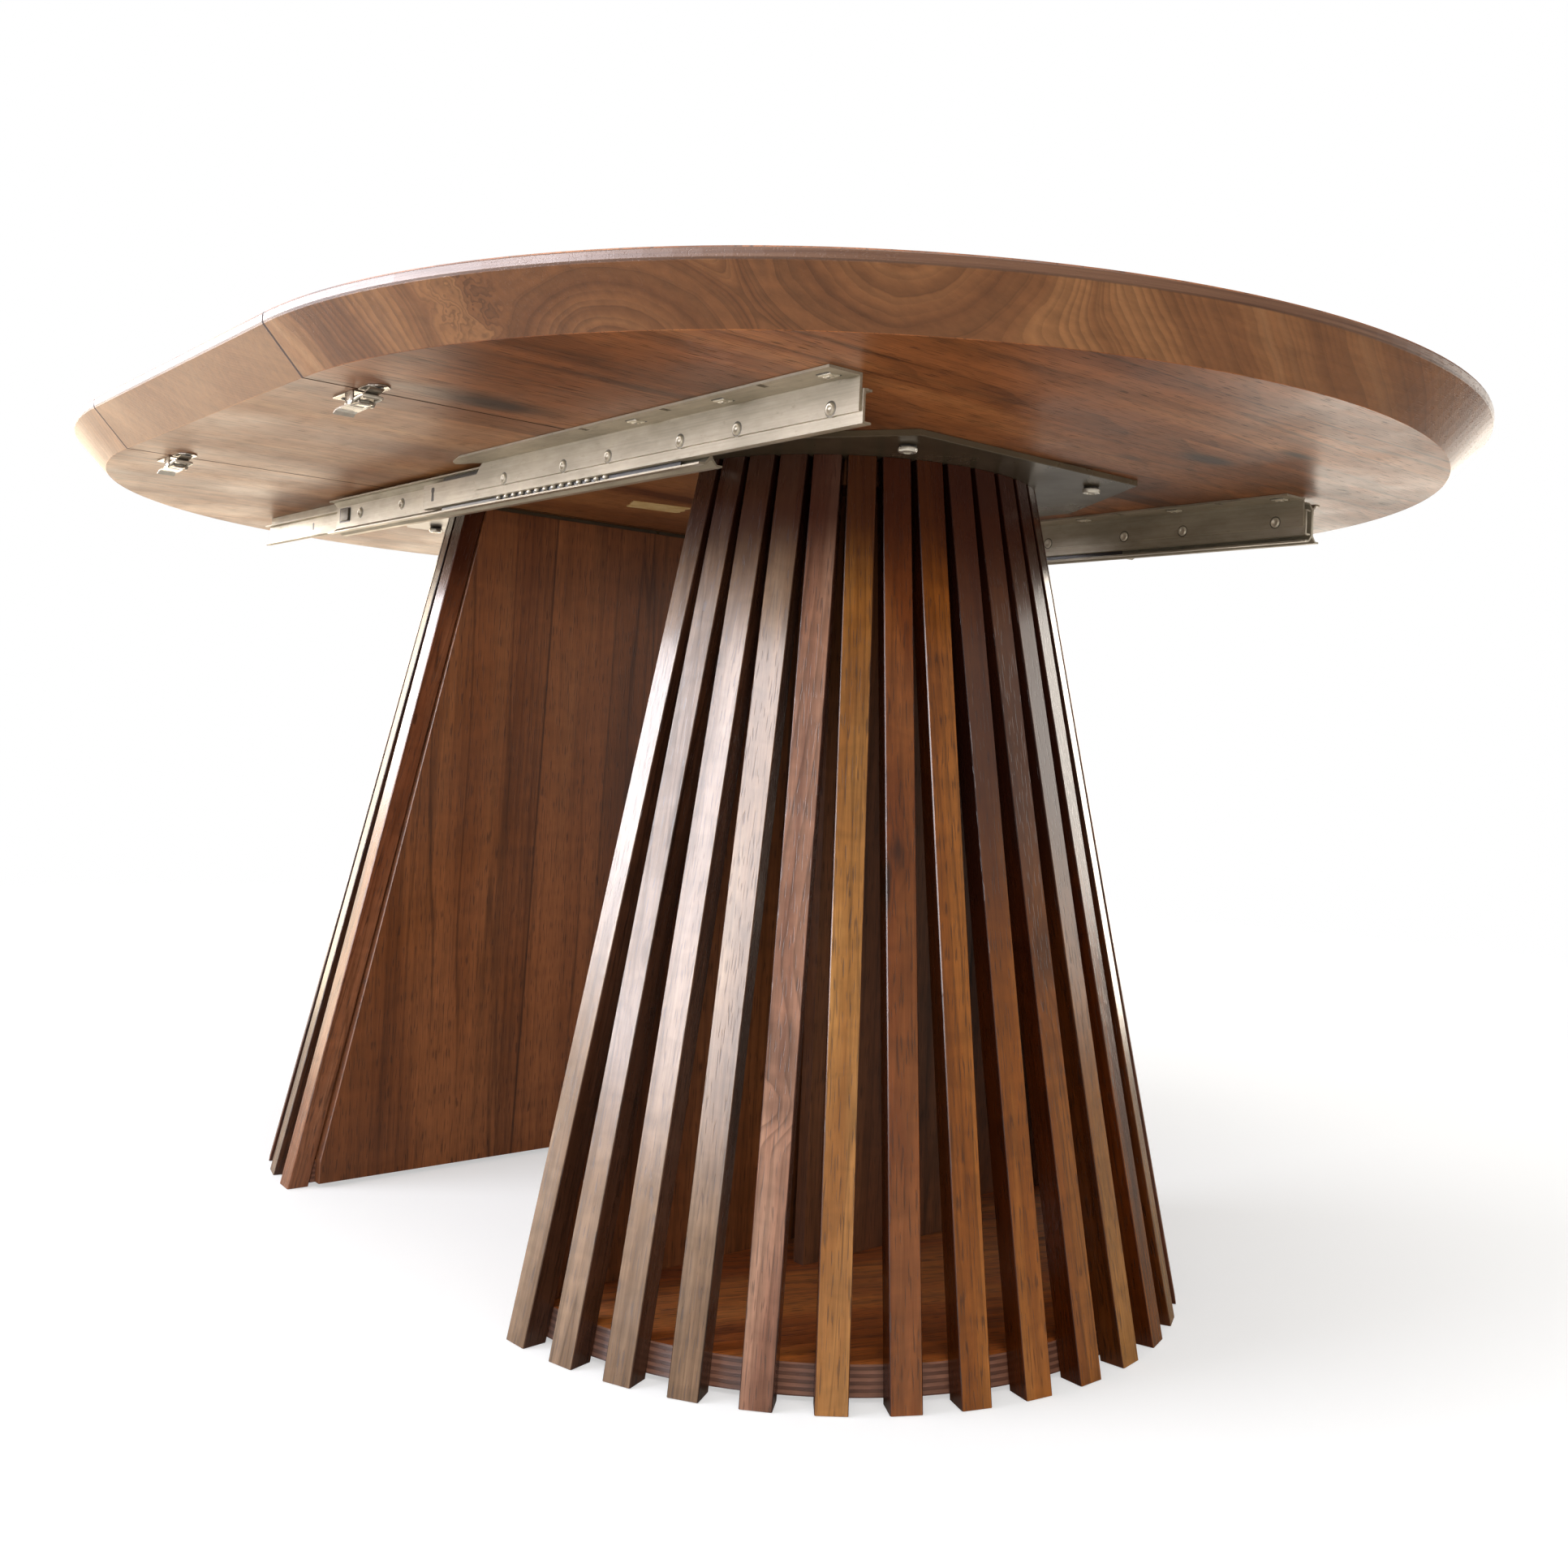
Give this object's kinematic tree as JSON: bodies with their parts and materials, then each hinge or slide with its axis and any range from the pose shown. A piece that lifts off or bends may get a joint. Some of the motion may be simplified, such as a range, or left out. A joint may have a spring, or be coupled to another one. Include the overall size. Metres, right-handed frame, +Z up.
{
  "type": "extendable dining table",
  "caption": "Round extendable dining table with a removable leaf, on a split cone of slanted slats, with ball-bearing runners and draw latches under the top.",
  "frame": {"origin": "on the floor, under the middle of the leaf", "axes": "X along the extension, near half at +X; Y along the seams of the top; Z up"},
  "size_m": [1.535, 1.11, 0.76],
  "materials": {
    "walnut_top": "satin lacquered veneer",
    "walnut_leaf": "satin lacquered veneer",
    "walnut_panel": "satin lacquered veneer",
    "walnut_slat_light": "satin lacquered solid wood",
    "walnut_slat_dark": "satin lacquered solid wood",
    "plywood": "stained plywood with open ply edges",
    "dark_steel": "dark satin coat",
    "zinc_steel": "zinc plated",
    "nickel": "nickel plated"
  },
  "bodies": {
    "near_half": {"near_half_top": "walnut_top", "near_mounting_plate": "dark_steel", "near_back_panel": "walnut_panel", "near_base_board": "plywood", "near_inner_frame": "plywood", "near_rail_left": "zinc_steel", "near_rail_right": "zinc_steel", "near_slat_01": "walnut_slat_light", "near_slat_02": "walnut_slat_dark", "near_slat_03": "walnut_slat_dark", "near_slat_04": "walnut_slat_light", "near_slat_05": "walnut_slat_dark", "near_slat_06": "walnut_slat_dark", "near_slat_07": "walnut_slat_light", "near_slat_08": "walnut_slat_dark", "near_slat_09": "walnut_slat_dark", "near_slat_10": "walnut_slat_light", "near_slat_11": "walnut_slat_dark", "near_slat_12": "walnut_slat_dark", "near_slat_13": "walnut_slat_light", "near_slat_14": "walnut_slat_dark", "near_slat_15": "walnut_slat_dark", "near_slat_16": "walnut_slat_light", "near_slat_17": "walnut_slat_dark", "near_slat_18": "walnut_slat_dark", "near_slat_19": "walnut_slat_light"},
    "far_half": {"far_half_top": "walnut_top", "far_mounting_plate": "dark_steel", "far_back_panel": "walnut_panel", "far_base_board": "plywood", "far_inner_frame": "plywood", "far_rail_left": "zinc_steel", "far_rail_right": "zinc_steel", "far_slat_01": "walnut_slat_light", "far_slat_02": "walnut_slat_dark", "far_slat_03": "walnut_slat_dark", "far_slat_04": "walnut_slat_light", "far_slat_05": "walnut_slat_dark", "far_slat_06": "walnut_slat_dark", "far_slat_07": "walnut_slat_light", "far_slat_08": "walnut_slat_dark", "far_slat_09": "walnut_slat_dark", "far_slat_10": "walnut_slat_light", "far_slat_11": "walnut_slat_dark", "far_slat_12": "walnut_slat_dark", "far_slat_13": "walnut_slat_light", "far_slat_14": "walnut_slat_dark", "far_slat_15": "walnut_slat_dark", "far_slat_16": "walnut_slat_light", "far_slat_17": "walnut_slat_dark", "far_slat_18": "walnut_slat_dark", "far_slat_19": "walnut_slat_light"},
    "leaf": {"leaf_top": "walnut_leaf"},
    "middle_rail_left": {"middle_rail_left": "zinc_steel"},
    "middle_rail_right": {"middle_rail_right": "zinc_steel"},
    "near_latch_lever_left": {"near_latch_lever_left": "nickel"},
    "near_latch_lever_right": {"near_latch_lever_right": "nickel"},
    "far_latch_lever_left": {"far_latch_lever_left": "nickel"},
    "far_latch_lever_right": {"far_latch_lever_right": "nickel"}
  },
  "joints": [
    {"name": "extension", "type": "slide", "parent": "near_half", "child": "far_half", "axis": [-1, 0, 0], "range_m": [0, 0.06]},
    {"name": "middle_rail_slide_left", "type": "slide", "parent": "near_half", "child": "middle_rail_left", "axis": [-1, 0, 0], "range_m": [0, 0.03]},
    {"name": "middle_rail_slide_right", "type": "slide", "parent": "near_half", "child": "middle_rail_right", "axis": [-1, 0, 0], "range_m": [0, 0.03]},
    {"name": "leaf_lift", "type": "slide", "parent": "near_half", "child": "leaf", "axis": [0, 0, 1], "range_m": [0, 0.25]},
    {"name": "near_latch_left", "type": "hinge", "parent": "leaf", "child": "near_latch_lever_left", "pos_m": [0.205, -0.476, 0.711], "axis": [0, -1, 0], "range_deg": [0, 100]},
    {"name": "near_latch_right", "type": "hinge", "parent": "leaf", "child": "near_latch_lever_right", "pos_m": [0.205, 0.476, 0.711], "axis": [0, -1, 0], "range_deg": [0, 100]},
    {"name": "far_latch_left", "type": "hinge", "parent": "far_half", "child": "far_latch_lever_left", "pos_m": [-0.22, -0.476, 0.711], "axis": [0, -1, 0], "range_deg": [0, 100]},
    {"name": "far_latch_right", "type": "hinge", "parent": "far_half", "child": "far_latch_lever_right", "pos_m": [-0.22, 0.476, 0.711], "axis": [0, -1, 0], "range_deg": [0, 100]}
  ],
  "couplings": [
    {"joint": "middle_rail_slide_left", "follows": "extension", "ratio": 0.5},
    {"joint": "middle_rail_slide_right", "follows": "extension", "ratio": 0.5}
  ]
}
